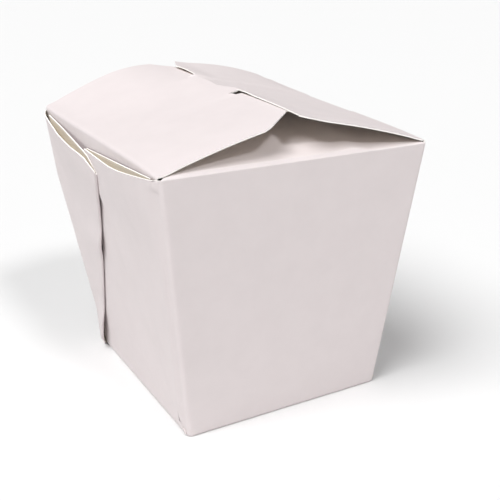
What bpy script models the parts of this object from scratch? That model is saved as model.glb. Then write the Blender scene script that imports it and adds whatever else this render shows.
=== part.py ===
"""Shut noodle takeaway box, folded from one sheet of paperboard.

The box is one piece, so it is one closed solid.  It tapers down to its base.  The web of each
corner is folded flat on the outside of a side wall as a double pleat.  Two lid flaps, hinged
on the side walls, rise to a low ridge where the tongue of one is locked in the other, and
a dust flap slopes in under them at the front and at the back.  What the shut flaps hide
is left solid.

Axes: X runs across the box, from one pleated side to the other, Y from front to back,
Z up.  The origin is the middle of the base.
"""

import math

import bmesh
import bpy
from mathutils import Matrix, Vector

MM = 0.001

# Body
BASE_WIDTH = 75.0 * MM
BASE_DEPTH = 84.0 * MM
RIM_WIDTH = 97.4 * MM
RIM_DEPTH = 106.8 * MM
WALL_HEIGHT = 94.0 * MM
CORNER_RADIUS = 2.0 * MM
CORNER_SEGMENTS = 4

# Lid flaps
BOARD = 0.6 * MM
HINGE_RISE = 2.2 * MM
RIDGE_RISE = 13.7 * MM
BACK_ARCH = 3.3 * MM
FLAP_END_GAP = 0.9 * MM
LEFT_FRONT_CUT = (12.0 * MM, 8.5 * MM)
LEFT_BACK_CUT = (6.0 * MM, 8.5 * MM)
RIGHT_FRONT_CUT = (2.0 * MM, 2.5 * MM)
RIGHT_BACK_CUT = (5.0 * MM, 11.0 * MM)
SHOULDER_LAP = 2.4 * MM
SHOULDER_LIFT = 0.4 * MM
LAP_RUN = 8.0 * MM
FLAP_CUTS_ACROSS = 8
FLAP_CUTS_ALONG = 12

# Recesses between the lid and the dust flaps
DUST_SLOPE = 0.2
DUST_INSET = 27.0 * MM
DUST_SIDE_TAPER = 16.5 * MM
DUST_SIDE_GAP = 2.2 * MM

# Pleats on the side walls
FRONT_PLEAT_THICK = 0.9 * MM
BACK_PLEAT_THICK = 1.8 * MM
PLEAT_FOOT_THICK = 0.4 * MM
FRONT_FOLD_LEAN = math.radians(31.0)
BACK_FOLD_LEAN = math.radians(24.6)
BACK_FOLD_TOP = 82.0 * MM
PLEAT_SAG = 3.6 * MM
PLEAT_KINK = 5.6 * MM
PLEAT_CORNER_INSET = 0.6 * MM
PLEAT_FOOT = 0.6 * MM

# How far pieces of the one solid reach into each other, and how far their faces stay apart
BURY = 2.0 * MM
INSET = 0.2 * MM

PAPERBOARD_COLOUR = (0.76, 0.70, 0.71, 1.0)
PAPERBOARD_ROUGHNESS = 0.62


def clear_scene():
    """Remove every object of the opened scene."""
    for thing in list(bpy.data.objects):
        bpy.data.objects.remove(thing, do_unlink=True)


def make_paperboard():
    """Return the material of the whole box."""
    material = bpy.data.materials.new("paperboard_white")
    material.use_nodes = True
    shader = material.node_tree.nodes["Principled BSDF"]
    shader.inputs["Base Color"].default_value = PAPERBOARD_COLOUR
    shader.inputs["Roughness"].default_value = PAPERBOARD_ROUGHNESS
    shader.inputs["Metallic"].default_value = 0.0
    return material


def half_width(z):
    """Half the width of the body at height z."""
    return (BASE_WIDTH + (RIM_WIDTH - BASE_WIDTH) * z / WALL_HEIGHT) / 2


def half_depth(z):
    """Half the depth of the body at height z."""
    return (BASE_DEPTH + (RIM_DEPTH - BASE_DEPTH) * z / WALL_HEIGHT) / 2


def smooth_step(value, start, end):
    """Ease from 0 at start to 1 at end, flat at both ends."""
    t = min(max((value - start) / (end - start), 0.0), 1.0)
    return t * t * (3.0 - 2.0 * t)


def lid_height(x, y):
    """Height of the lid's outside above the base, over the point x, y.

    Both flaps rise evenly from their hinges to the ridge.  Behind the middle they arch up a
    little more between the hinge and the ridge.
    """
    rise = 1.0 - abs(x) / (RIM_WIDTH / 2)
    slope = HINGE_RISE + (RIDGE_RISE - HINGE_RISE) * rise
    arch = math.sin(math.pi * min(max(rise, 0.0), 1.0)) * smooth_step(y, 0.0, RIM_DEPTH / 2)
    return WALL_HEIGHT + slope + BACK_ARCH * arch


def new_object(name, mesh_data, material=None):
    """Turn a bmesh with outward faces into an object of the scene."""
    bmesh.ops.triangulate(mesh_data, faces=mesh_data.faces)
    bmesh.ops.recalc_face_normals(mesh_data, faces=mesh_data.faces)
    mesh = bpy.data.meshes.new(name)
    mesh_data.to_mesh(mesh)
    mesh_data.free()
    thing = bpy.data.objects.new(name, mesh)
    bpy.context.scene.collection.objects.link(thing)
    if material is not None:
        mesh.materials.append(material)
    return thing


def make_body(material):
    """The tapered body with its four rounded upright corners, solid up to the rim."""
    body = bmesh.new()
    bmesh.ops.create_cube(body, size=1.0, matrix=Matrix.Translation((0.0, 0.0, 0.5)))
    for corner in body.verts:
        height = corner.co.z * WALL_HEIGHT
        side_x = math.copysign(half_width(height), corner.co.x)
        side_y = math.copysign(half_depth(height), corner.co.y)
        corner.co = Vector((side_x, side_y, height))
    upright = [edge for edge in body.edges if abs(edge.verts[0].co.z - edge.verts[1].co.z) > BURY]
    bmesh.ops.bevel(body, geom=upright, offset=CORNER_RADIUS, segments=CORNER_SEGMENTS,
                    profile=0.5, affect="EDGES", material=-1)
    return new_object("carton", body, material)


def flat_sheet(outline):
    """A flat face through the points of an outline in the XY plane, cut into a grid."""
    sheet = bmesh.new()
    corners = [sheet.verts.new((x, y, 0.0)) for x, y in outline]
    sheet.faces.new(corners)
    xs = [x for x, _ in outline]
    ys = [y for _, y in outline]
    for axis, low, high, count in ((Vector((1, 0, 0)), min(xs), max(xs), FLAP_CUTS_ACROSS),
                                   (Vector((0, 1, 0)), min(ys), max(ys), FLAP_CUTS_ALONG)):
        for step in range(1, count):
            place = axis * (low + (high - low) * step / count)
            geometry = sheet.verts[:] + sheet.edges[:] + sheet.faces[:]
            bmesh.ops.bisect_plane(sheet, geom=geometry, plane_co=place, plane_no=axis,
                                   dist=MM / 1000)
    return sheet


def thicken_down(sheet, depth_of):
    """Close a sheet into a solid, its underside depth_of(vertex place) below the top."""
    result = bmesh.ops.extrude_face_region(sheet, geom=sheet.faces[:])
    lower = [item for item in result["geom"] if isinstance(item, bmesh.types.BMVert)]
    for vertex in lower:
        vertex.co.z -= depth_of(vertex.co)


def flap_outline(side, reach):
    """Outline of a lid flap that is hinged at side (-1 or 1) and reaches past the ridge.

    Each free corner is cut off by its own width and depth.
    """
    front_width, front_depth = RIGHT_FRONT_CUT if side > 0 else LEFT_FRONT_CUT
    back_width, back_depth = RIGHT_BACK_CUT if side > 0 else LEFT_BACK_CUT
    hinge = RIM_WIDTH / 2
    end = RIM_DEPTH / 2 - FLAP_END_GAP
    front_y = front_depth - end
    back_y = end - back_depth
    lap = [(-reach, front_y), (-reach, back_y)] if reach > 0.0 else []
    half = [(hinge, -end), (front_width, -end), (0.0, front_y)]
    return [(side * x, y) for x, y in half + lap + [(0.0, back_y), (back_width, end), (hinge, end)]]


def make_lid_flap(side):
    """One thin lid flap; the right one laps over the left one along the ridge."""
    lap = SHOULDER_LAP if side > 0 else 0.0
    flap = flat_sheet(flap_outline(side, lap))
    lift = SHOULDER_LIFT if side > 0 else 0.0
    for vertex in flap.verts:
        near_ridge = smooth_step(-vertex.co.x, -LAP_RUN, 0.0)
        vertex.co.z = lid_height(vertex.co.x, vertex.co.y) + lift * near_ridge
    thicken_down(flap, lambda place: BOARD)
    return new_object("lid_flap_right" if side > 0 else "lid_flap_left", flap)


def make_lid_core():
    """What the shut lid hides between the two recesses, up to the underside of the flaps."""
    side = RIM_WIDTH / 2 - BOARD
    end = RIM_DEPTH / 2 - DUST_INSET
    core = flat_sheet([(-side, -end), (0.0, -end), (side, -end), (side, end), (0.0, end), (-side, end)])
    for vertex in core.verts:
        vertex.co.z = lid_height(vertex.co.x, vertex.co.y) - BOARD / 2
    floor = WALL_HEIGHT - BURY
    thicken_down(core, lambda place: place.z - floor)
    return new_object("lid_core", core)


def make_dust_flap(end):
    """The sloping floor of a recess, at the front (end -1) or at the back (end 1)."""
    rim_x = RIM_WIDTH / 2 - DUST_SIDE_GAP
    deep_x = rim_x - DUST_SIDE_TAPER
    rim_y = RIM_DEPTH / 2 - INSET
    deep_y = rim_y - DUST_INSET - BURY
    rise = DUST_SLOPE * (rim_y - deep_y)
    wedge = bmesh.new()
    floor = WALL_HEIGHT - BURY
    sill = rim_y - BURY
    lower = [(-rim_x, sill), (rim_x, sill), (deep_x, deep_y), (-deep_x, deep_y)]
    upper = [(-rim_x, rim_y, -INSET), (rim_x, rim_y, -INSET),
             (deep_x, deep_y, rise), (-deep_x, deep_y, rise)]
    points = [wedge.verts.new((x, end * y, floor)) for x, y in lower]
    points += [wedge.verts.new((x, end * y, WALL_HEIGHT + z)) for x, y, z in upper]
    bmesh.ops.convex_hull(wedge, input=points)
    return new_object("dust_flap_front" if end < 0 else "dust_flap_back", wedge)


def make_hinge_strip(side):
    """The top of a side wall, which stands above the pleats and carries a lid flap's hinge."""
    low = WALL_HEIGHT - BURY
    high = WALL_HEIGHT + HINGE_RISE - BOARD / 2
    outer = RIM_WIDTH / 2 - INSET
    length = RIM_DEPTH / 2 - FLAP_END_GAP
    strip = bmesh.new()
    lower = [(x, y, low) for x in (outer - BURY, half_width(low) - INSET) for y in (-length, length)]
    upper = [(x, y, high) for x in (outer - BURY, outer) for y in (-length, length)]
    points = [strip.verts.new((side * x, y, z)) for x, y, z in lower + upper]
    bmesh.ops.convex_hull(strip, input=points)
    return new_object("hinge_strip_right" if side > 0 else "hinge_strip_left", strip)


def front_pleat_outline():
    """Y, Z points of a front pleat on its side wall: corner, sagging top edge, fold."""
    top = WALL_HEIGHT - PLEAT_SAG
    fold_y = -half_depth(0.0) + top * math.tan(FRONT_FOLD_LEAN)
    foot_y = PLEAT_CORNER_INSET - half_depth(PLEAT_FOOT)
    rim_y = PLEAT_CORNER_INSET - half_depth(WALL_HEIGHT)
    third = (fold_y - rim_y) / 3
    middle_z = WALL_HEIGHT - PLEAT_SAG / 2
    return [(foot_y, PLEAT_FOOT), (rim_y, WALL_HEIGHT - INSET), (rim_y + third, middle_z),
            (rim_y + 2 * third, top), (fold_y, top)]


def back_pleat_outline():
    """Y, Z points of a back pleat: corner, top edge dipping to the fold, fold."""
    fold_y = half_depth(0.0) - BACK_FOLD_TOP * math.tan(BACK_FOLD_LEAN)
    foot_y = half_depth(PLEAT_FOOT) - PLEAT_CORNER_INSET
    rim_y = half_depth(WALL_HEIGHT) - PLEAT_CORNER_INSET
    kink_y = fold_y + (rim_y - fold_y) / 4
    middle_y = (kink_y + rim_y) / 2
    kink_z = WALL_HEIGHT - PLEAT_KINK
    return [(foot_y, PLEAT_FOOT), (rim_y, WALL_HEIGHT - INSET), (middle_y, (kink_z + WALL_HEIGHT) / 2),
            (kink_y, kink_z), (fold_y, BACK_FOLD_TOP)]


def make_pleat(name, side, outline, thick):
    """A double pleat lying on a side wall, thinner at its foot than at the rim."""
    pleat = bmesh.new()
    outward = Vector((side * WALL_HEIGHT, 0.0, -(RIM_WIDTH - BASE_WIDTH) / 2)).normalized()
    inner = []
    outer = []
    for y, z in outline:
        on_wall = Vector((side * half_width(z), y, z))
        lift = PLEAT_FOOT_THICK + (thick - PLEAT_FOOT_THICK) * z / WALL_HEIGHT
        inner.append(pleat.verts.new(on_wall - outward * BURY))
        outer.append(pleat.verts.new(on_wall + outward * lift))
    pleat.faces.new(inner)
    pleat.faces.new(reversed(outer))
    for index in range(len(outline)):
        after = (index + 1) % len(outline)
        pleat.faces.new((inner[after], inner[index], outer[index], outer[after]))
    return new_object(name, pleat)


def unite(body, additions):
    """Join the additions to the body with Boolean unions, keeping them as hidden guides."""
    for addition in additions:
        addition.hide_render = True
        addition.display_type = "WIRE"
        joint = body.modifiers.new("add_" + addition.name, "BOOLEAN")
        joint.operation = "UNION"
        joint.solver = "EXACT"
        joint.object = addition


def main():
    """Build the box."""
    clear_scene()
    body = make_body(make_paperboard())
    additions = [make_lid_core()]
    for end in (-1, 1):
        additions.append(make_dust_flap(end))
    for side, word in ((-1, "left"), (1, "right")):
        additions.append(make_hinge_strip(side))
        additions.append(make_lid_flap(side))
        front = make_pleat("front_pleat_" + word, side, front_pleat_outline(), FRONT_PLEAT_THICK)
        back = make_pleat("back_pleat_" + word, side, back_pleat_outline(), BACK_PLEAT_THICK)
        additions += [front, back]
    unite(body, additions)


if __name__ == "__main__":
    main()
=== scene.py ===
"""Finished look of a shut noodle takeaway box, folded from one sheet of paperboard.

Every panel is cut flat from an outline, scored into a fine grid and then folded up by a
formula, as the real box is.  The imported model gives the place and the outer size.
"""

import logging
import math
from abc import ABC, abstractmethod
from collections.abc import Callable, Sequence
from dataclasses import dataclass
from enum import Enum

import bmesh
import bpy
from mathutils import Matrix, Vector


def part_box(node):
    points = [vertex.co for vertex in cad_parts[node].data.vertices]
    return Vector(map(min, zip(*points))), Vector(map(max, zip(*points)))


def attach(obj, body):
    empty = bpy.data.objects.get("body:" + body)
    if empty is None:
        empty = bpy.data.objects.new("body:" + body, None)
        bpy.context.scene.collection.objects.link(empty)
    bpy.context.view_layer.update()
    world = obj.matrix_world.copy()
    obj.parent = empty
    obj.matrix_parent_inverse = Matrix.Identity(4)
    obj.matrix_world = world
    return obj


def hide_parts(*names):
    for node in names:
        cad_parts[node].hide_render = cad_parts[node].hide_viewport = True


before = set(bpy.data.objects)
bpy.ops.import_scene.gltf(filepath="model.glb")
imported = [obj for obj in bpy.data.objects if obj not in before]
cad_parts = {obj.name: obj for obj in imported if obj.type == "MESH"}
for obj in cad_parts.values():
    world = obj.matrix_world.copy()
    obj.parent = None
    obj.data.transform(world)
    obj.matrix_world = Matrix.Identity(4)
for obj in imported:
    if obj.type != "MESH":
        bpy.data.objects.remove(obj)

LOG = logging.getLogger("takeaway_box")
MM = 0.001
CAD_NODE = "carton"
BODY = "root"
# Cut edges below this height get the outer face's finish, so a pleat's open foot shows less.
FOOT_FOLD_HEIGHT = 8.0 * MM
# Faces that meet at more than this many degrees are shaded with a hard line between them.
SHARP_ANGLE = 45.0
# Points nearer than this are one point, and no length that is divided by is less.
TINY = 1e-6
# A score line that passes a point nearer than this runs through it.
CUT_TOLERANCE = 1e-7
# Close score lines beside a crease, in millimetres from it: at a wall's foot and at the rim.
FOOT_LINES = (-1.5, -1.0, -0.5, 0.0, 0.5, 1.0, 1.5)
RIM_LINES = (-1.0, -0.5, -0.25, -0.13, 0.0, 0.13, 0.25, 0.75, 1.25, 1.37, 1.5, 1.63, 1.75, 2.1, 2.6)
# Close score lines across an upright corner and across a web's fold, as shares of half its width.
CORNER_SHARES = (-1.0, -0.67, -0.33, 0.0, 0.33, 0.67, 1.0)
FOLD_SHARES = (-1.0, -0.75, -0.5, -0.25, 0.0, 0.25, 0.5, 0.75, 1.0)

Point = tuple[float, float]


class Side(Enum):
    """A side wall of the box, as its direction along X."""

    LEFT = -1
    RIGHT = 1


class End(Enum):
    """An end wall of the box, as its direction along Y."""

    FRONT = -1
    BACK = 1


def smooth_step(value: float, start: float, end: float) -> float:
    """Ease from 0 at start to 1 at end.

    Args:
        value: Where to read the curve.
        start: Where the curve leaves 0.
        end: Where the curve reaches 1.

    Returns:
        A number from 0 to 1, with no slope at either end.
    """
    share = min(max((value - start) / (end - start), 0.0), 1.0)
    return share * share * (3.0 - 2.0 * share)


def soft_ramp(value: float, start: float, end: float) -> float:
    """Rise evenly from 0 at start to 1 at end, with a short curve where the rise begins.

    Args:
        value: Where to read the curve.
        start: Where the even rise would begin.
        end: Where it reaches 1.

    Returns:
        A number from 0 up, which goes on rising past the end.
    """
    share = (value - start) / (end - start)
    ease = 0.12
    if share <= -ease:
        return 0.0
    if share >= ease:
        return share
    return (share + ease) ** 2 / (4 * ease)


def hump(value: float, middle: float, reach: float) -> float:
    """A round hump.

    Args:
        value: Where to read the curve.
        middle: Where the hump is highest.
        reach: How far from the middle it has died out.

    Returns:
        A number from 0 to 1.
    """
    share = min(abs(value - middle) / reach, 1.0)
    return 0.5 * (1.0 + math.cos(math.pi * share))


def through(points: Sequence[Point], value: float) -> float:
    """Read a line that runs straight from each of a few points to the next.

    Args:
        points: Places and values, in rising order of place.
        value: The place to read.

    Returns:
        The value there, and the end values beyond the ends.
    """
    if value <= points[0][0]:
        return points[0][1]
    for (start, low), (end, high) in zip(points, points[1:]):
        if value <= end:
            return low + (high - low) * (value - start) / (end - start)
    return points[-1][1]


@dataclass(frozen=True)
class Bend:
    """A round bend between two straight runs of a sheet, seen from its end.

    Angles are measured up from the inward direction.  The bend turns the sheet inwards.
    """

    radius: float
    before: float
    after: float

    def point(self, distance: float) -> Point:
        """Follow the sheet across the bend.

        Args:
            distance: Way along the sheet from the bend's middle, negative before it.

        Returns:
            How far in and how far up that is from where the straight runs would meet.
        """
        turn = self.before - self.after
        tangent = self.radius * math.tan(turn / 2)
        half_arc = self.radius * turn / 2
        if distance <= -half_arc:
            way = distance + half_arc - tangent
            return way * math.cos(self.before), way * math.sin(self.before)
        if distance >= half_arc:
            way = distance - half_arc + tangent
            return way * math.cos(self.after), way * math.sin(self.after)
        angle = self.before - (distance + half_arc) / self.radius
        centre_in = -tangent * math.cos(self.before) + self.radius * math.sin(self.before)
        centre_up = -tangent * math.sin(self.before) - self.radius * math.cos(self.before)
        return centre_in - self.radius * math.sin(angle), centre_up + self.radius * math.cos(angle)


@dataclass(frozen=True)
class Fold:
    """A scored crease: a narrow flat band pressed between two bends.

    Angles are measured up from the inward direction.  The crease turns the sheet inwards.
    """

    radius: float
    before: float
    after: float
    facet: float = 0.0

    def point(self, distance: float) -> Point:
        """Follow the sheet across the crease.

        Args:
            distance: Way along the sheet from the band's lower edge, negative before it.

        Returns:
            How far in and how far up that is from the band's lower edge.
        """
        half_way = (self.before + self.after) / 2
        quarter = (self.before - self.after) / 4
        facet = max(self.facet, 2 * self.radius * quarter)
        if distance <= facet / 2:
            return Bend(self.radius, self.before, half_way).point(distance)
        band = facet + 2 * self.radius * (math.tan(quarter) - quarter)
        inward, rise = Bend(self.radius, half_way, self.after).point(distance - facet)
        return inward + band * math.cos(half_way), rise + band * math.sin(half_way)


@dataclass(frozen=True)
class BoxForm:
    """The sizes that all panels share, and the shape of the shut box."""

    middle: Vector
    floor: float
    rim_depth: float
    base_width: float = 75.0 * MM
    base_depth: float = 84.0 * MM
    rim_width: float = 97.4 * MM
    wall_height: float = 94.0 * MM
    board: float = 0.42 * MM
    foot_length: float = 4.0 * MM
    foot_radius: float = 0.8 * MM
    hinge_rise: float = 1.6 * MM
    hinge_front_rise: float = 0.7 * MM
    hinge_back_left_rise: float = 1.9 * MM
    hinge_back_right_rise: float = 2.3 * MM
    hinge_flatness: float = 4.0
    ridge_rise: float = 13.7 * MM
    ridge_tilt: float = 0.6 * MM
    left_arch: float = 3.7 * MM
    right_arch: float = 2.6 * MM
    left_arch_skew: float = 1.3
    right_arch_skew: float = 0.9
    front_arch: float = 0.9 * MM
    arch_start: float = 9.0 * MM

    @classmethod
    def from_frame(cls, node: str) -> "BoxForm":
        """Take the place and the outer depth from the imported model.

        Args:
            node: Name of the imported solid.

        Returns:
            The form of the box, at the solid's place.
        """
        low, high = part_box(node)
        middle = Vector(((low.x + high.x) / 2, (low.y + high.y) / 2, 0.0))
        return cls(middle=middle, floor=low.z, rim_depth=high.y - low.y)

    def half_width(self, height: float) -> float:
        """Half the width between the side walls at a height above the base."""
        return (self.base_width + (self.rim_width - self.base_width) * height / self.wall_height) / 2

    def half_depth(self, height: float) -> float:
        """Half the depth between the front and back walls at a height above the base."""
        return (self.base_depth + (self.rim_depth - self.base_depth) * height / self.wall_height) / 2

    @property
    def side_lean(self) -> float:
        """How far a side wall leans out, as an angle."""
        return math.atan2((self.rim_width - self.base_width) / 2, self.wall_height)

    @property
    def end_lean(self) -> float:
        """How far the front and back walls lean out, as an angle."""
        return math.atan2((self.rim_depth - self.base_depth) / 2, self.wall_height)

    def hinge_height(self, x: float, y: float) -> float:
        """Height of the crease between a side wall and its lid flap.

        Args:
            x: Negative for the left wall, positive for the right one.
            y: Way along the crease from its middle.

        Returns:
            The height above the base where the crease's two straight sides would meet.
        """
        share = min(abs(y) / (self.rim_depth / 2), 1.0) ** self.hinge_flatness
        end = self.hinge_front_rise
        if y > 0:
            end = self.hinge_back_left_rise if x < 0 else self.hinge_back_right_rise
        return self.wall_height + self.hinge_rise + (end - self.hinge_rise) * share

    def lid_slope_height(self, x: float, y: float) -> float:
        """Height of the lid's outside if its flaps were flat.

        Args:
            x: Place across the box.
            y: Place from front to back.

        Returns:
            The height above the base.
        """
        rise = 1.0 - abs(x) / (self.rim_width / 2)
        hinge = self.hinge_height(x, y)
        ridge = self.wall_height + self.ridge_rise - self.ridge_tilt * y / (self.rim_depth / 2)
        return hinge + (ridge - hinge) * rise

    def lid_height(self, x: float, y: float) -> float:
        """Height of the lid's outside, with the arch of its free edges.

        Args:
            x: Place across the box.
            y: Place from front to back.

        Returns:
            The height above the base.
        """
        rise = min(max(1.0 - abs(x) / (self.rim_width / 2), 0.0), 1.0)
        back = soft_ramp(y, self.arch_start, self.rim_depth / 2)
        front = smooth_step(-y, self.arch_start, self.rim_depth / 2)
        if x < 0:
            bow = self.left_arch * math.sin(math.pi * rise ** self.left_arch_skew) * back
        else:
            bow = self.right_arch * math.sin(math.pi * rise ** self.right_arch_skew) * back
        bow += self.front_arch * math.sin(math.pi * rise) * front
        return self.lid_slope_height(x, y) + bow


@dataclass(frozen=True)
class CornerSlack:
    """How far hand folding has left each corner of the box from its true place."""

    form: BoxForm
    base_front_left: Vector = Vector((-0.5, -0.8, 0.0)) * MM
    base_front_right: Vector = Vector((1.4, 1.1, 0.0)) * MM
    base_back_left: Vector = Vector((0.7, -0.9, 0.0)) * MM
    base_back_right: Vector = Vector((-0.4, 0.4, 0.0)) * MM
    rim_front_left: Vector = Vector((0.0, 0.0, 0.6)) * MM
    rim_front_right: Vector = Vector((-0.4, 0.0, -1.2)) * MM
    rim_back_left: Vector = Vector((-0.85, 0.0, 0.7)) * MM
    rim_back_right: Vector = Vector((0.3, 0.0, -0.2)) * MM

    def shifted(self, place: Vector) -> Vector:
        """Move a point with the corners around it.

        Args:
            place: A point of the true box, from the middle of its base.

        Returns:
            The point on the box as it was folded.
        """
        form = self.form
        height = min(max(place.z, 0.0), form.wall_height)
        up = max(place.z, 0.0) / form.wall_height
        right = 0.5 + 0.5 * place.x / form.half_width(height)
        back = 0.5 + 0.5 * place.y / form.half_depth(height)
        base = (self.base_front_left.lerp(self.base_front_right, right)
                .lerp(self.base_back_left.lerp(self.base_back_right, right), back))
        rim = (self.rim_front_left.lerp(self.rim_front_right, right)
               .lerp(self.rim_back_left.lerp(self.rim_back_right, right), back))
        return place + base.lerp(rim, up)


class Sheet:
    """A flat piece of board: cut to an outline, scored into a grid and folded."""

    def __init__(self, outline: Sequence[Point]) -> None:
        """Cut the sheet.

        Args:
            outline: Corners in order, anticlockwise when seen from the outer face.
        """
        self.mesh = bmesh.new()
        corners = [self.mesh.verts.new((x, y, 0.0)) for x, y in outline]
        self.mesh.faces.new(corners)
        self.mesh.normal_update()

    def score(self, through_point: Point, across: Point) -> None:
        """Cut every face along one line.

        Args:
            through_point: A point of the line.
            across: The direction at right angles to the line.
        """
        geometry = self.mesh.verts[:] + self.mesh.edges[:] + self.mesh.faces[:]
        bmesh.ops.bisect_plane(self.mesh, geom=geometry, plane_co=(*through_point, 0.0),
                               plane_no=(*across, 0.0), dist=CUT_TOLERANCE)

    def score_grid(self, across: Sequence[float], along: Sequence[float]) -> None:
        """Cut the sheet along lines of both directions.

        Args:
            across: Places of the lines that run up the sheet.
            along: Places of the lines that run across it.
        """
        for place in across:
            self.score((place, 0.0), (1.0, 0.0))
        for place in along:
            self.score((0.0, place), (0.0, 1.0))

    def fold(self, place: Callable[[float, float], Vector]) -> None:
        """Move each point of the sheet to where folding takes it."""
        for vertex in self.mesh.verts:
            vertex.co = place(vertex.co.x, vertex.co.y)

    def turn_over(self) -> None:
        """Make the other side the outer face."""
        bmesh.ops.reverse_faces(self.mesh, faces=self.mesh.faces)


def steps(start: float, end: float, size: float) -> list[float]:
    """Even places between two ends, without the ends themselves.

    Args:
        start: One end.
        end: The other end.
        size: The most that two places may be apart.

    Returns:
        The places in order.
    """
    count = max(1, math.ceil((end - start) / size))
    return [start + (end - start) * index / count for index in range(1, count)]


class BoardFace(Enum):
    """The material slots of a piece of board."""

    OUTSIDE = 0
    INSIDE = 1
    CUT_EDGE = 2


def make_piece(name: str, sheet: Sheet, finishes: Sequence[bpy.types.Material],
               board: float) -> bpy.types.Object:
    """Turn a folded sheet into a finished piece of board.

    Args:
        name: The piece's name.
        sheet: The folded sheet, with its outer face out.
        finishes: Materials for the outside, the inside and the cut edge.
        board: Thickness of the board.

    Returns:
        The piece, as a closed mesh.
    """
    bmesh.ops.remove_doubles(sheet.mesh, verts=sheet.mesh.verts, dist=TINY)
    mesh = bpy.data.meshes.new(name)
    sheet.mesh.to_mesh(mesh)
    sheet.mesh.free()
    piece = bpy.data.objects.new(name, mesh)
    bpy.context.scene.collection.objects.link(piece)
    for finish in finishes:
        mesh.materials.append(finish)
    wall = piece.modifiers.new("board", "SOLIDIFY")
    wall.thickness = board
    wall.offset = -1.0
    wall.use_even_offset = False
    wall.material_offset = BoardFace.INSIDE.value
    wall.material_offset_rim = BoardFace.CUT_EDGE.value
    bpy.context.view_layer.update()
    solid = bpy.data.meshes.new_from_object(piece.evaluated_get(bpy.context.evaluated_depsgraph_get()))
    piece.modifiers.clear()
    piece.data = solid
    solid.name = name
    bpy.data.meshes.remove(mesh)
    for face in solid.polygons:
        if face.material_index == BoardFace.CUT_EDGE.value and face.center.z < FOOT_FOLD_HEIGHT:
            face.material_index = BoardFace.OUTSIDE.value
    solid.shade_smooth()
    solid.set_sharp_from_angle(angle=math.radians(SHARP_ANGLE))
    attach(piece, BODY)
    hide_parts(CAD_NODE)
    LOG.info("%s: %d faces", name, len(solid.polygons))
    return piece


@dataclass(frozen=True)
class Panel(ABC):
    """A panel of the box: cut flat, scored and folded up.

    The two ways on the flat panel, across and along, are each kind of panel's own.
    """

    name: str
    form: BoxForm
    slack: CornerSlack

    @abstractmethod
    def outline(self) -> list[Point]:
        """Outline of the flat panel, as its corners in order."""

    @abstractmethod
    def score_lines(self, sheet: Sheet) -> None:
        """Cut the flat panel into a grid."""

    @abstractmethod
    def place(self, across: float, along: float) -> Vector:
        """Fold one point of the flat panel, and give its place from the middle of the base."""

    @property
    @abstractmethod
    def turned(self) -> bool:
        """Whether folding leaves the outer face on the inside, so the sheet is turned over."""

    def build(self, finishes: Sequence[bpy.types.Material]) -> bpy.types.Object:
        """Cut, score and fold the panel.

        Args:
            finishes: Materials for the outside, the inside and the cut edge.

        Returns:
            The finished piece.
        """
        sheet = Sheet(self.outline())
        self.score_lines(sheet)
        sheet.fold(lambda across, along: self.form.middle + self.slack.shifted(self.place(across, along)))
        if self.turned:
            sheet.turn_over()
        return make_piece(self.name, sheet, finishes, self.form.board)


@dataclass(frozen=True)
class PleatShape:
    """How one end's corner webs lie on the side walls.

    Distances run from the upright corner towards the middle of the side wall.  A gap or a lift
    is a list of heights and sizes, and a lens is a list of shares of the way to the fold and
    sizes.
    """

    foot: float
    reach: float
    reach_height: float
    kink_share: float
    kink_drop: float
    tip_drop: float
    corner_lift: tuple[Point, ...]
    wall_gap: tuple[Point, ...]
    fold_gap: tuple[Point, ...]
    inner_lens: tuple[Point, ...]
    outer_lens: tuple[Point, ...]
    outer_sag: float = 0.0
    fold_bow: float = 0.0
    fold_push: float = 0.0
    lens_depth: float = 34.0 * MM

    def fold_at(self, height: float) -> float:
        """Distance of the web's fold from the corner at a height."""
        return self.foot + (self.reach - self.foot) * height / self.reach_height


@dataclass(frozen=True)
class RimFold:
    """The crease between an end wall and its dust flap, and the flap's small bump and dent."""

    facets: tuple[Point, ...]
    slope: float = 0.2
    radius: float = 0.4 * MM
    corner_fade: float = 2.5 * MM
    depth: float = 40.0 * MM
    deep_half_width: float = 20.0 * MM
    bump: float = 0.0
    bump_place: Point = (9.0 * MM, 9.0 * MM)
    bump_reach: Point = (7.0 * MM, 9.0 * MM)
    dent: float = 0.0
    dent_place: Point = (-1.0 * MM, 8.0 * MM)
    dent_reach: Point = (7.0 * MM, 6.0 * MM)

    def buckle(self, x: float, inward: float) -> float:
        """Read the bump and the dent beside the crease.

        Args:
            x: Place across the box.
            inward: Distance from the crease.

        Returns:
            The extra height of the flap there.
        """
        bump = hump(x, self.bump_place[0], self.bump_reach[0])
        bump *= hump(inward, self.bump_place[1], self.bump_reach[1])
        dent = hump(x, self.dent_place[0], self.dent_reach[0])
        dent *= hump(inward, self.dent_place[1], self.dent_reach[1])
        return self.bump * bump - self.dent * dent


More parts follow.
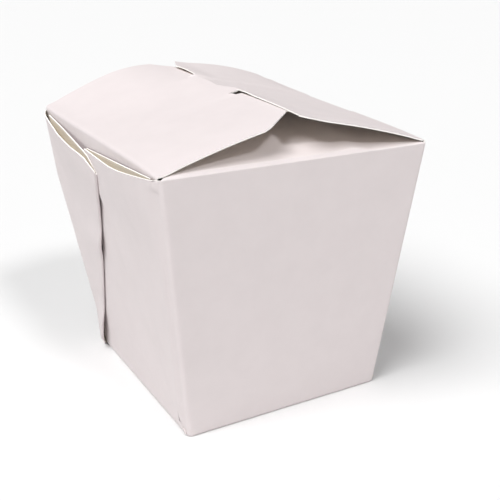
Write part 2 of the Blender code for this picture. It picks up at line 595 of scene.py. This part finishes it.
@dataclass(frozen=True)
class WrapPanel(Panel):
    """An end wall with its dust flap, and the corner webs that fold onto the side walls."""

    end: End
    pleat: PleatShape
    rim: RimFold
    corner_radius: float = 1.8 * MM
    corner_share: float = 0.5
    foot_ease: float = 5.0 * MM
    foot_heights: tuple[float, ...] = (0.0, 2.0 * MM, 4.0 * MM, 7.0 * MM)
    fold_depth: float = 1.0 * MM
    fold_reach: float = 1.8 * MM
    fold_share: float = 0.3
    hidden_margin: float = 3.0 * MM
    hidden_share: float = 0.7
    least_along: float = 0.3 * MM
    least_gap: float = 0.1 * MM
    flap_side_gap: float = 1.2 * MM
    flap_rise_gap: float = 1.0 * MM
    lid_clearance: float = 0.9 * MM
    edge_steps: int = 14
    grid: float = 4.0 * MM
    rim_band: float = 12.0 * MM
    rim_grid: Point = (1.0 * MM, 0.8 * MM)
    scored_reaches: float = 2.2

    @property
    def turned(self) -> bool:
        """Whether this is the back panel, which is folded the other way round."""
        return self.end is End.BACK

    @property
    def corner_arc(self) -> float:
        """Length of board that an upright corner takes."""
        return self.corner_radius * math.pi / 2

    def top_edge(self, along: float) -> float:
        """Follow a web's cut top edge.

        Args:
            along: Distance from the upright corner.

        Returns:
            The edge's height above the base.
        """
        pleat = self.pleat
        kink = pleat.kink_share * pleat.reach
        if along <= kink:
            return self.form.wall_height - pleat.kink_drop * along / kink
        share = (along - kink) / (pleat.reach - kink)
        return self.form.wall_height - pleat.kink_drop - (pleat.tip_drop - pleat.kink_drop) * share

    def outline(self) -> list[Point]:
        """Outline of the flat panel.

        Returns:
            Corners in order, as the way across the panel and the way up it.
        """
        form = self.form
        pleat = self.pleat
        rim = form.wall_height
        half = [(form.half_width(0.0) - form.foot_length, -form.foot_length),
                (form.half_width(0.0) - form.foot_radius, 0.0)]
        for height in self.foot_heights:
            fold = pleat.fold_at(height)
            hidden = min(self.hidden_share * fold, self.hidden_margin)
            half.append((form.half_width(height) + 2 * fold - hidden, height))
        inner = []
        outer = []
        for index in range(self.edge_steps + 1):
            along = pleat.reach * index / self.edge_steps
            height = self.top_edge(along)
            sag = pleat.outer_sag * math.sin(math.pi * along / pleat.reach)
            outer.append((form.half_width(height) + along, height - sag))
            if along > self.hidden_margin:
                inner.append((form.half_width(height) + 2 * pleat.fold_at(height) - along, height))
        half += inner[:-1]
        half += list(reversed(outer))
        half.append((form.half_width(rim) - self.flap_side_gap, rim + self.flap_rise_gap))
        half.append((self.rim.deep_half_width, rim + self.rim.depth))
        return half + [(-x, y) for x, y in reversed(half)]

    def score_lines(self, sheet: Sheet) -> None:
        """Cut the grid, with close lines at each crease.

        Args:
            sheet: The flat panel.
        """
        form = self.form
        pleat = self.pleat
        rim = form.wall_height
        band = self.rim_band
        heights = [-form.foot_length / 2] + [offset * MM for offset in FOOT_LINES]
        heights += steps(FOOT_LINES[-1] * MM, rim - band, self.grid)
        heights += steps(rim - band, rim + RIM_LINES[0] * MM, self.rim_grid[0])
        heights += [rim + offset * MM for offset in RIM_LINES]
        heights += steps(rim + RIM_LINES[-1] * MM, rim + band, self.rim_grid[1])
        heights += steps(rim + band, rim + self.rim.depth, self.grid)
        width = form.half_width(rim)
        across = steps(-width, width, self.grid / 2)
        sheet.score_grid(across, heights)
        corner_slope = (form.rim_width - form.base_width) / 2 / form.wall_height
        fold_slope = corner_slope + (pleat.reach - pleat.foot) / pleat.reach_height
        for side in (-1, 1):
            for share in CORNER_SHARES:
                start = form.half_width(0.0) + share * self.corner_radius * math.pi / 4
                sheet.score((side * start, 0.0), (side, -corner_slope))
            for share in FOLD_SHARES:
                start = form.half_width(0.0) + pleat.foot + share * self.fold_reach
                sheet.score((side * start, 0.0), (side, -fold_slope))
            for distance in steps(0.0, self.scored_reaches * pleat.reach, self.grid):
                start = form.half_width(0.0) + distance
                sheet.score((side * start, 0.0), (side, -corner_slope))

    def web_lift(self, along: float, height: float, folded: float) -> float:
        """How far a web stands off the side wall.

        Args:
            along: Distance from the corner.
            height: Height above the base.
            folded: 0 on the outer layer, 1 on the inner one, between them in the fold.

        Returns:
            The distance of its face from the wall's face.
        """
        pleat = self.pleat
        share = min(max(along / max(pleat.fold_at(height), TINY), 0.0), 1.0)
        foot = smooth_step(height, 0.0, self.foot_ease)
        near_fold = smooth_step(share, self.fold_share, 1.0)
        near_top = smooth_step(height, self.form.wall_height - pleat.lens_depth, self.form.wall_height)
        inner = self.least_gap + through(pleat.wall_gap, height) * near_fold
        inner += through(pleat.inner_lens, share) * near_top
        gap = through(pleat.fold_gap, height) * near_fold + through(pleat.outer_lens, share) * near_top
        outer = inner + gap + 2 * self.form.board * foot
        corner = through(pleat.corner_lift, height) * (1.0 - smooth_step(share, 0.0, self.corner_share))
        shoulder = min(along / self.hidden_margin, 1.0)
        outer = max(outer * shoulder, corner)
        return outer + (inner - outer) * folded

    def place(self, across: float, along: float) -> Vector:
        """Fold one point of the flat panel.

        Args:
            across: Way across the panel from its middle line.
            along: Way up the panel from the base's crease.

        Returns:
            Where the point lies on the box, from the middle of its base.
        """
        side = -1.0 if across < 0 else 1.0
        way = abs(across)
        height = min(max(along, 0.0), self.form.wall_height)
        half = self.form.half_width(height)
        start = half - self.corner_arc / 2
        share = (way - start) / self.corner_arc
        corner_lift = through(self.pleat.corner_lift, height)
        if share <= 0.0:
            stretched = side * way * (half + corner_lift - self.corner_radius) / start
            return self.end_wall_place(stretched, along)
        if share >= 1.0:
            return self.web_place(side, way, height)
        angle = share * math.pi / 2
        x = half + corner_lift - self.corner_radius * (1.0 - math.sin(angle))
        sunk = self.corner_radius * (1.0 - math.cos(angle))
        place = self.end_wall_place(side * x, along)
        place.y -= self.end.value * sunk
        return place

    def web_place(self, side: float, way: float, height: float) -> Vector:
        """Fold one point of a corner web onto the side wall.

        Args:
            side: -1 on the left, 1 on the right.
            way: Way across the flat panel from its middle line.
            height: Height above the base.

        Returns:
            Where the point lies on the box, from the middle of its base.
        """
        form = self.form
        pleat = self.pleat
        half = form.half_width(height)
        along = way - half - self.corner_arc / 2 + self.corner_radius
        bow = pleat.fold_bow * math.sin(math.pi * min(height / pleat.reach_height, 1.0))
        fold = pleat.fold_at(height) + bow
        fold += pleat.fold_push * through(pleat.wall_gap, height)
        beyond = way - half - pleat.fold_at(height)
        if beyond <= -self.fold_reach:
            flat = max(pleat.fold_at(height) - self.fold_reach, TINY)
            distance = along * (fold - self.fold_depth) / flat
            folded = 0.0
        elif beyond < self.fold_reach:
            angle = beyond / self.fold_reach * math.pi / 2
            distance = fold - self.fold_depth * (1.0 - math.cos(angle))
            folded = 0.5 + 0.5 * math.sin(angle)
        else:
            distance = fold - self.fold_depth - (beyond - self.fold_reach)
            folded = 1.0
        distance = max(distance, self.least_along)
        x = half + self.web_lift(distance, height, folded)
        y = form.half_depth(height) - distance
        return Vector((side * x, self.end.value * y, height))

    def end_wall_place(self, x: float, up: float) -> Vector:
        """Place a point of the end wall, its dust flap or its foot.

        Args:
            x: Place across the box.
            up: Way up the panel from the base's crease.

        Returns:
            Where the point lies on the box, from the middle of its base.
        """
        form = self.form
        rim = form.wall_height
        lean = form.end_lean
        to_corner = form.half_width(rim) - abs(x)
        if up < form.wall_height / 2:
            under = Bend(form.foot_radius, math.pi, math.pi / 2 + lean)
            inward, rise = under.point(up)
            y = form.half_depth(0.0) - inward
            return Vector((x, self.end.value * y, rise))
        facet = through(self.rim.facets, x) * smooth_step(to_corner, 0.0, self.rim.corner_fade)
        fold = Fold(self.rim.radius, math.pi / 2 + lean, math.atan(self.rim.slope), facet)
        inward, rise = fold.point(up - rim)
        y = form.rim_depth / 2 - inward
        height = rim + rise
        if up > rim:
            height += self.rim.buckle(x, inward)
            ceiling = form.lid_height(x, self.end.value * y) - self.lid_clearance
            height = min(height, ceiling)
        return Vector((x, self.end.value * y, height))


@dataclass(frozen=True)
class FlapCut:
    """How a lid flap's free end is cut.

    The lip and the slit, into which the other flap's tongue goes, are lists of the place from
    front to back and the way past the ridge.
    """

    end_gap: float
    front_corner: Point
    back_corner: Point
    lap: float
    tongue_front: float
    tongue_back: float
    tongue_length: float
    tongue_ease: float = 2.0 * MM
    shoulder_gap: tuple[Point, ...] = ((0.0, 0.0),)
    lip: tuple[Point, ...] = ()
    slit: tuple[Point, ...] = ()


@dataclass(frozen=True)
class LidPanel(Panel):
    """A side wall with the lid flap that is hinged on its top.

    A flap lies a share of the board's thickness above the ridge where it laps over the other
    one, and another share below it where it laps under.  The tongue dives past the ridge, and
    the strip of flap in line with it is sunk a little all the way from the hinge.
    """

    side: Side
    cut: FlapCut
    hinge_radius: float = 1.2 * MM
    wall_margin: float = 2.8 * MM
    neck_drop: float = 2.5 * MM
    neck_rise: float = 1.5 * MM
    corner_ease: Point = (1.2 * MM, 1.4 * MM)
    tongue_dive: float = 8.0 * MM
    dive_start: float = 1.5 * MM
    tongue_fade: Point = (1.4 * MM, 2.0 * MM)
    lap_reach: float = 12.0 * MM
    lap_over: float = 1.2
    lap_under: float = 0.2
    arch_fade: float = 8.0 * MM
    grid: float = 3.0 * MM
    hinge_band: Point = (-4.0 * MM, 6.0 * MM)
    hinge_grid: float = 0.4 * MM
    ridge_band: float = 8.0 * MM
    ridge_grid: float = 0.8 * MM

    @property
    def turned(self) -> bool:
        """Whether this is the left panel, which is folded the other way round."""
        return self.side is Side.LEFT

    @property
    def flap_slope(self) -> float:
        """Angle at which the flap rises from its hinge."""
        rise = self.form.ridge_rise - self.form.hinge_rise
        return math.atan2(rise, self.form.rim_width / 2)

    @property
    def flap_length(self) -> float:
        """Way along the flap from its hinge to the ridge."""
        return self.form.rim_width / 2 / math.cos(self.flap_slope)

    def outline(self) -> list[Point]:
        """Outline of the flat panel.

        Returns:
            Corners in order, as the place from front to back and the way from the hinge,
            negative on the wall.
        """
        form = self.form
        cut = self.cut
        drop = -form.wall_height
        low = form.half_depth(0.0) - self.wall_margin
        high = form.half_depth(form.wall_height) - cut.end_gap
        ridge = self.flap_length
        neck = form.half_depth(form.wall_height) - self.wall_margin
        wall = [(low - form.foot_length, drop - form.foot_length), (low, drop),
                (neck, -self.neck_drop), (high, self.neck_rise)]
        back = [(high, ridge - cut.back_corner[0])]
        corner = ridge - cut.front_corner[0]
        front = [(self.corner_ease[0] - high, corner + self.corner_ease[1]),
                 (-high, corner - self.corner_ease[1])]
        return wall + back + self.free_end(high) + front + [(-x, y) for x, y in reversed(wall)]

    def free_end(self, high: float) -> list[Point]:
        """Outline of the flap's free end, from back to front.

        Args:
            high: Half the flap's width along the hinge.

        Returns:
            The points between its two side edges.
        """
        cut = self.cut
        ridge = self.flap_length
        end = ridge + cut.lap
        back = high - cut.back_corner[1]
        front = cut.front_corner[1] - high
        if cut.tongue_length > 0:
            tip = ridge + cut.tongue_length
            ease = cut.tongue_ease
            return [(back, end), (cut.tongue_back + ease, end), (cut.tongue_back, end + ease / 2),
                    (cut.tongue_back - ease, tip), (cut.tongue_front + ease, tip),
                    (cut.tongue_front, end + ease / 2), (cut.tongue_front - ease, end), (front, end)]
        middle = [(y, ridge + beyond) for y, beyond in cut.lip + cut.slit]
        slit_front = cut.slit[-1][0]
        return [(back, end), (cut.tongue_back, end)] + middle + [(slit_front, end), (front, end)]

    def score_lines(self, sheet: Sheet) -> None:
        """Cut the grid, with close lines at each crease.

        Args:
            sheet: The flat panel.
        """
        form = self.form
        width = form.half_depth(form.wall_height)
        drop = -form.wall_height
        along = [drop + offset * MM for offset in FOOT_LINES]
        ridge = self.flap_length
        below, above = self.hinge_band
        along += steps(drop + FOOT_LINES[-1] * MM, below, 2 * self.grid)
        along += steps(below, above, self.hinge_grid)
        along += steps(above, ridge - self.ridge_band, self.grid / 2)
        along += steps(ridge - self.ridge_band, ridge + self.ridge_band, self.ridge_grid)
        sheet.score_grid(steps(-width, width, self.grid / 2), along)

    def place(self, across: float, along: float) -> Vector:
        """Fold one point of the flat panel.

        Args:
            across: Place from front to back.
            along: Way from the hinge, negative on the wall.

        Returns:
            Where the point lies on the box, from the middle of its base.
        """
        form = self.form
        drop = -form.wall_height
        if along < drop / 2:
            under = Bend(form.foot_radius, math.pi, math.pi / 2 + form.side_lean)
            inward, rise = under.point(along - drop)
            return Vector((self.side.value * (form.half_width(0.0) - inward), across, rise))
        fold = Bend(self.hinge_radius, math.pi / 2 + form.side_lean, self.flap_slope)
        hinge = form.hinge_height(self.side.value, across)
        inward, rise = fold.point(along)
        x = self.side.value * (form.half_width(form.wall_height) - inward)
        height = hinge + rise
        if along < 0:
            wall = form.wall_height + rise
            height = wall + (hinge - form.wall_height) * smooth_step(along, drop / 2, 0.0)
            return Vector((x, across, height))
        away = smooth_step(along, 0.0, self.arch_fade)
        tilt = -form.ridge_tilt * across / (form.rim_depth / 2) * min(along / self.flap_length, 1.0)
        height += (form.lid_height(x, across) - form.lid_slope_height(x, across) + tilt) * away
        return Vector((x, across, height + self.lap_lift(across, along)))

    def lap_lift(self, y: float, way: float) -> float:
        """Read how the flaps lap over and under each other at the ridge.

        Args:
            y: Place from front to back.
            way: Way along the flap from its hinge.

        Returns:
            The extra height of the flap there.
        """
        cut = self.cut
        form = self.form
        inside = smooth_step(y, cut.tongue_front - self.tongue_fade[0], cut.tongue_front)
        inside *= 1.0 - smooth_step(y, cut.tongue_back - self.tongue_fade[1], cut.tongue_back)
        near = smooth_step(way, self.flap_length - self.lap_reach, self.flap_length)
        past = max(way - self.flap_length, 0.0)
        drop = 2 * past * math.sin(self.flap_slope)
        if cut.tongue_length > 0:
            gap = through(cut.shoulder_gap, y)
            dive = inside * (past + self.dive_start) ** 2 / self.tongue_dive
            return near * (form.board * self.lap_over + gap) * (1.0 - inside) - dive - drop * (1.0 - inside)
        lap = self.lap_over * inside - self.lap_under * (1.0 - inside)
        return near * form.board * lap - drop * (1.0 - inside)


@dataclass(frozen=True)
class Base(Panel):
    """The bottom panel, which the feet of the walls run into, as the real board has no break."""

    inset: float = 1.2 * MM
    grid: float = 6.0 * MM

    @property
    def turned(self) -> bool:
        """False, as the outline already runs clockwise from above, with the outer face down."""
        return False

    @property
    def corner(self) -> Point:
        """The panel's corner at the back right."""
        return self.form.half_width(0.0) - self.inset, self.form.half_depth(0.0) - self.inset

    def outline(self) -> list[Point]:
        """Outline of the flat panel, clockwise when seen from above."""
        x, y = self.corner
        return [(-x, -y), (-x, y), (x, y), (x, -y)]

    def score_lines(self, sheet: Sheet) -> None:
        """Cut the flat panel into an even grid."""
        x, y = self.corner
        sheet.score_grid(steps(-x, x, self.grid), steps(-y, y, self.grid))

    def place(self, across: float, along: float) -> Vector:
        """Lay a point half a board's thickness above the base's plane."""
        return Vector((across, along, self.form.board * 0.5))


def linear_colour(code: str) -> tuple[float, float, float, float]:
    """Turn an sRGB hex colour to linear light.

    Args:
        code: Six hex digits.

    Returns:
        Red, green, blue and an alpha of 1.
    """
    channels = []
    for index in (0, 2, 4):
        value = int(code[index:index + 2], 16) / 255
        channels.append(value / 12.92 if value <= 0.04045 else ((value + 0.055) / 1.055) ** 2.4)
    return channels[0], channels[1], channels[2], 1.0


def add_node(tree: bpy.types.NodeTree, kind: str, settings: dict[str, object] | None = None,
             inputs: dict[str | int, object] | None = None) -> bpy.types.Node:
    """Add a node with its settings and links.

    Args:
        tree: The node tree.
        kind: The node's type name.
        settings: Properties of the node.
        inputs: Values of input sockets, or output sockets to link to them.

    Returns:
        The node.
    """
    node = tree.nodes.new(kind)
    for name, value in (settings or {}).items():
        setattr(node, name, value)
    for name, value in (inputs or {}).items():
        socket = node.inputs[name]
        if isinstance(value, bpy.types.NodeSocket):
            tree.links.new(value, socket)
        else:
            socket.default_value = value
    return node


@dataclass(frozen=True)
class Paperboard:
    """Bleached paperboard: fibres pressed flat, faint clouds of formation, a soft sheen."""

    name: str
    light: str
    shade: str
    roughness: float
    fibre_mm: float = 0.35
    cloud_mm: float = 9.0
    grain_mm: float = 1.1
    grain_stretch: float = 12.0
    fibre_height: float = 0.012 * MM
    cloud_span: Point = (0.3, 0.7)
    ior: float = 1.5

    def material(self) -> bpy.types.Material:
        """Build the finish as a node material.

        Returns:
            The material.
        """
        material = bpy.data.materials.new(self.name)
        material.use_nodes = True
        tree = material.node_tree
        shader = tree.nodes["Principled BSDF"]
        where = add_node(tree, "ShaderNodeTexCoord")
        clouds = add_node(tree, "ShaderNodeTexNoise", None,
                          {"Vector": where.outputs["Object"], "Scale": 1000 / self.cloud_mm, "Detail": 4.0,
                           "Roughness": 0.6})
        mix = add_node(tree, "ShaderNodeValToRGB", None, {"Fac": clouds.outputs["Fac"]})
        mix.color_ramp.elements[0].position = self.cloud_span[0]
        mix.color_ramp.elements[0].color = linear_colour(self.shade)
        mix.color_ramp.elements[1].position = self.cloud_span[1]
        mix.color_ramp.elements[1].color = linear_colour(self.light)
        tree.links.new(mix.outputs["Color"], shader.inputs["Base Color"])
        fibres = add_node(tree, "ShaderNodeTexNoise", None,
                          {"Vector": where.outputs["Object"], "Scale": 1000 / self.fibre_mm, "Detail": 3.0})
        stretch = add_node(tree, "ShaderNodeMapping", None,
                           {"Vector": where.outputs["Object"],
                            "Scale": (1.0, 1.0, 1.0 / self.grain_stretch)})
        grain = add_node(tree, "ShaderNodeTexNoise", None,
                         {"Vector": stretch.outputs["Vector"], "Scale": 1000 / self.grain_mm, "Detail": 2.0})
        both = add_node(tree, "ShaderNodeMath", {"operation": "ADD"},
                        {0: fibres.outputs["Fac"], 1: grain.outputs["Fac"]})
        relief = add_node(tree, "ShaderNodeBump", None,
                          {"Height": both.outputs["Value"], "Distance": self.fibre_height, "Strength": 1.0})
        tree.links.new(relief.outputs["Normal"], shader.inputs["Normal"])
        shader.inputs["Roughness"].default_value = self.roughness
        shader.inputs["IOR"].default_value = self.ior
        return material


# Clay-coated and calendered outer face: a cool, faintly pink white with a dull, very soft sheen.
OUTSIDE = Paperboard("paperboard_coated_face", "DCD3D3", "D9D0D0", 0.6)
# Uncoated inner face: creamy pulp, so the light caught in a pleat or under the lid turns warm.
INSIDE = Paperboard("paperboard_inner_face", "EAE3D6", "E6DDCE", 0.7)
# Die-cut edge: torn white fibres, with no sheen, which draw a bright line round each panel.
CUT_EDGE = Paperboard("paperboard_cut_edge", "FBF8F5", "F6F2EE", 0.9)


def direction(azimuth: float, elevation: float) -> Vector:
    """Turn two angles to a direction.

    Args:
        azimuth: Degrees round the box; 0 is in front and negative is to the left.
        elevation: Degrees above the floor.

    Returns:
        A vector of length 1 from the box outwards.
    """
    across = math.radians(azimuth)
    up = math.radians(elevation)
    return Vector((math.sin(across) * math.cos(up), -math.cos(across) * math.cos(up), math.sin(up)))


@dataclass(frozen=True)
class Lamp:
    """A large soft lamp: where it stands, its watts per square metre and the angle it fills."""

    name: str
    azimuth: float
    elevation: float
    strength: float
    softness: float


# A broad lamp high on the left lights the lid and the left wall, and a narrow one the front.
LAMPS = (Lamp("side_lamp", -72.0, 60.0, 3.0, 40.0), Lamp("front_lamp", 6.0, 48.0, 1.12, 10.0))


@dataclass(frozen=True)
class Studio:
    """A pale floor, soft lights and the camera.

    The camera looks at a point that lies off the box's middle, to its right and above it.
    """

    form: BoxForm
    azimuth: float = -27.92
    elevation: float = 21.13
    roll: float = -0.826
    distance: float = 378.97 * MM
    aim_right: float = 7.44 * MM
    aim_up: float = 43.12 * MM
    sensor: float = 36.0
    lens: float = 69.89
    nearest: float = 10.0 * MM
    sky: float = 0.2
    band_top: Point = (0.02, 0.06)
    floor_half: float = 40.0
    floor_gap: float = 0.05 * MM
    floor_colour: str = "E3E3E3"
    floor_roughness: float = 0.9

    def make_camera(self) -> None:
        """Place the camera and make it the scene's own."""
        back = direction(self.azimuth, self.elevation)
        right = Vector((0, 0, 1)).cross(back).normalized()
        up = back.cross(right)
        roll = math.radians(self.roll)
        right_rolled = right * math.cos(roll) + up * math.sin(roll)
        up_rolled = up * math.cos(roll) - right * math.sin(roll)
        aim = self.form.middle + right_rolled * self.aim_right + up_rolled * self.aim_up
        turn = Matrix((right_rolled, up_rolled, back)).transposed().to_4x4()
        data = bpy.data.cameras.new("camera")
        data.lens = self.lens
        data.sensor_width = self.sensor
        data.clip_start = self.nearest
        camera = bpy.data.objects.new("camera", data)
        camera.matrix_world = Matrix.Translation(aim + back * self.distance) @ turn
        bpy.context.scene.collection.objects.link(camera)
        bpy.context.scene.camera = camera

    def make_floor(self) -> None:
        """Lay a large pale floor under the box."""
        floor = bmesh.new()
        bmesh.ops.create_grid(floor, x_segments=1, y_segments=1, size=self.floor_half)
        bmesh.ops.translate(floor, verts=floor.verts, vec=(0, 0, self.form.floor - self.floor_gap))
        mesh = bpy.data.meshes.new("floor")
        floor.to_mesh(mesh)
        floor.free()
        plane = bpy.data.objects.new("floor", mesh)
        bpy.context.scene.collection.objects.link(plane)
        paint = bpy.data.materials.new("floor_white")
        paint.use_nodes = True
        shader = paint.node_tree.nodes["Principled BSDF"]
        shader.inputs["Base Color"].default_value = linear_colour(self.floor_colour)
        shader.inputs["Roughness"].default_value = self.floor_roughness
        mesh.materials.append(paint)

    def make_light(self, lamp: Lamp) -> None:
        """Shine one even soft light on the box, as from a large lamp far away.

        Args:
            lamp: The lamp's place, strength and size.
        """
        data = bpy.data.lights.new(lamp.name, "SUN")
        data.energy = lamp.strength
        data.angle = math.radians(lamp.softness)
        light = bpy.data.objects.new(lamp.name, data)
        towards = direction(lamp.azimuth, lamp.elevation)
        light.matrix_world = towards.to_track_quat("Z", "Y").to_matrix().to_4x4()
        bpy.context.scene.collection.objects.link(light)

    def make_sky(self) -> None:
        """Fill the room with weak even light, and a bright band where the floor ends."""
        world = bpy.data.worlds.new("studio")
        world.use_nodes = True
        tree = world.node_tree
        where = add_node(tree, "ShaderNodeTexCoord")
        parts = add_node(tree, "ShaderNodeSeparateXYZ", None, {"Vector": where.outputs["Generated"]})
        ramp = add_node(tree, "ShaderNodeValToRGB", None, {"Fac": parts.outputs["Z"]})
        ramp.color_ramp.elements[0].position = self.band_top[0]
        ramp.color_ramp.elements[0].color = linear_colour("FFFFFF")
        ramp.color_ramp.elements[1].position = self.band_top[1]
        ramp.color_ramp.elements[1].color = (self.sky, self.sky, self.sky, 1.0)
        background = tree.nodes["Background"]
        background.inputs["Strength"].default_value = 1.0
        tree.links.new(ramp.outputs["Color"], background.inputs["Color"])
        bpy.context.scene.world = world

    def build(self) -> None:
        """Set up the whole studio."""
        self.make_camera()
        self.make_floor()
        for lamp in LAMPS:
            self.make_light(lamp)
        self.make_sky()
        bpy.context.scene.view_settings.view_transform = "Standard"


FRONT_PLEAT = PleatShape(
    foot=0.6 * MM,
    reach=65.0 * MM,
    reach_height=90.0 * MM,
    kink_share=0.94,
    kink_drop=4.3 * MM,
    tip_drop=6.5 * MM,
    corner_lift=((0.0, 0.0),),
    wall_gap=((0.0, 0.05 * MM),),
    fold_gap=((0.0, 0.05 * MM),),
    inner_lens=((0.0, 0.0), (0.4, 0.3 * MM), (1.0, 0.1 * MM)),
    outer_lens=((0.0, 0.0), (0.12, 0.9 * MM), (0.35, 2.3 * MM), (0.5, 2.3 * MM), (0.75, 1.0 * MM),
                (1.0, 0.05 * MM)),
    outer_sag=1.1 * MM)
BACK_PLEAT = PleatShape(
    foot=2.0 * MM,
    reach=51.6 * MM,
    reach_height=82.8 * MM,
    kink_share=0.84,
    kink_drop=5.5 * MM,
    tip_drop=11.2 * MM,
    corner_lift=((0.0, 0.1 * MM), (21 * MM, 0.4 * MM), (48 * MM, 1.2 * MM), (70 * MM, 1.9 * MM),
                 (94 * MM, 0.7 * MM)),
    wall_gap=((0.0, 0.3 * MM), (4 * MM, 1.7 * MM), (12 * MM, 1.5 * MM), (20 * MM, 0.1 * MM),
              (46 * MM, 0.05 * MM), (52 * MM, 1.3 * MM), (59 * MM, 0.1 * MM), (68 * MM, 0.3 * MM),
              (80 * MM, 1.2 * MM), (94 * MM, 1.2 * MM)),
    fold_gap=((0.0, 0.1 * MM), (20 * MM, 0.1 * MM), (52 * MM, 0.2 * MM), (71 * MM, 0.3 * MM),
              (94 * MM, 0.2 * MM)),
    inner_lens=((0.0, 0.0), (0.5, 0.4 * MM), (0.8, 0.4 * MM), (1.0, 0.0)),
    outer_lens=((0.0, 0.0), (0.1, 0.9 * MM), (0.4, 2.3 * MM), (0.65, 2.0 * MM), (0.85, 1.0 * MM),
                (1.0, 0.1 * MM)),
    outer_sag=1.5 * MM,
    fold_bow=2.0 * MM,
    fold_push=1.5,
    lens_depth=30.0 * MM)
FRONT_RIM = RimFold(
    facets=((-46 * MM, 1.0 * MM), (-36 * MM, 1.5 * MM), (12 * MM, 1.5 * MM), (20 * MM, 2.0 * MM),
            (27 * MM, 0.1 * MM), (46 * MM, 0.0)),
    bump=0.9 * MM,
    dent=0.7 * MM)
BACK_RIM = RimFold(facets=((-48 * MM, 1.2 * MM), (48 * MM, 1.2 * MM)))
LEFT_CUT = FlapCut(
    end_gap=0.8 * MM,
    front_corner=(12.0 * MM, 13.5 * MM),
    back_corner=(6.0 * MM, 11.0 * MM),
    lap=5.0 * MM,
    tongue_front=-10.8 * MM,
    tongue_back=24.0 * MM,
    tongue_length=0.0,
    lip=((24.0 * MM, -0.5 * MM), (11.6 * MM, -0.7 * MM), (3.1 * MM, -1.4 * MM),
         (-1.6 * MM, -0.4 * MM), (-6.6 * MM, 0.9 * MM)),
    slit=((-10.3 * MM, 0.9 * MM), (-10.3 * MM, -0.8 * MM), (-10.0 * MM, -2.0 * MM),
          (-9.4 * MM, -3.7 * MM), (-10.9 * MM, -3.0 * MM), (-12.0 * MM, -1.7 * MM),
          (-12.8 * MM, -0.2 * MM), (-13.2 * MM, 1.2 * MM)))
RIGHT_CUT = FlapCut(
    end_gap=0.9 * MM,
    front_corner=(1.6 * MM, 2.4 * MM),
    back_corner=(5.0 * MM, 11.0 * MM),
    lap=-0.7 * MM,
    tongue_front=-8.2 * MM,
    tongue_back=23.0 * MM,
    tongue_length=10.0 * MM,
    shoulder_gap=((-46 * MM, 0.1 * MM), (-21 * MM, 0.3 * MM), (-15 * MM, 0.6 * MM), (-9 * MM, 0.4 * MM),
                  (25 * MM, 0.3 * MM), (33 * MM, 0.7 * MM), (48 * MM, 0.4 * MM)))


def panels(form: BoxForm, slack: CornerSlack) -> list[Panel]:
    """List the box's panels in the order they are made.

    Args:
        form: The sizes that all panels share.
        slack: Where the corners lie.

    Returns:
        The five panels.
    """
    return [Base("base_panel", form, slack),
            LidPanel("left_panel", form, slack, Side.LEFT, LEFT_CUT),
            LidPanel("right_panel", form, slack, Side.RIGHT, RIGHT_CUT),
            WrapPanel("front_panel", form, slack, End.FRONT, FRONT_PLEAT, FRONT_RIM),
            WrapPanel("back_panel", form, slack, End.BACK, BACK_PLEAT, BACK_RIM)]


def main() -> None:
    """Build the box and its studio."""
    logging.basicConfig(level=logging.INFO, format="%(message)s")
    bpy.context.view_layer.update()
    form = BoxForm.from_frame(CAD_NODE)
    slack = CornerSlack(form)
    finishes = [OUTSIDE.material(), INSIDE.material(), CUT_EDGE.material()]
    for panel in panels(form, slack):
        panel.build(finishes)
    Studio(form).build()


if __name__ == "__main__":
    main()
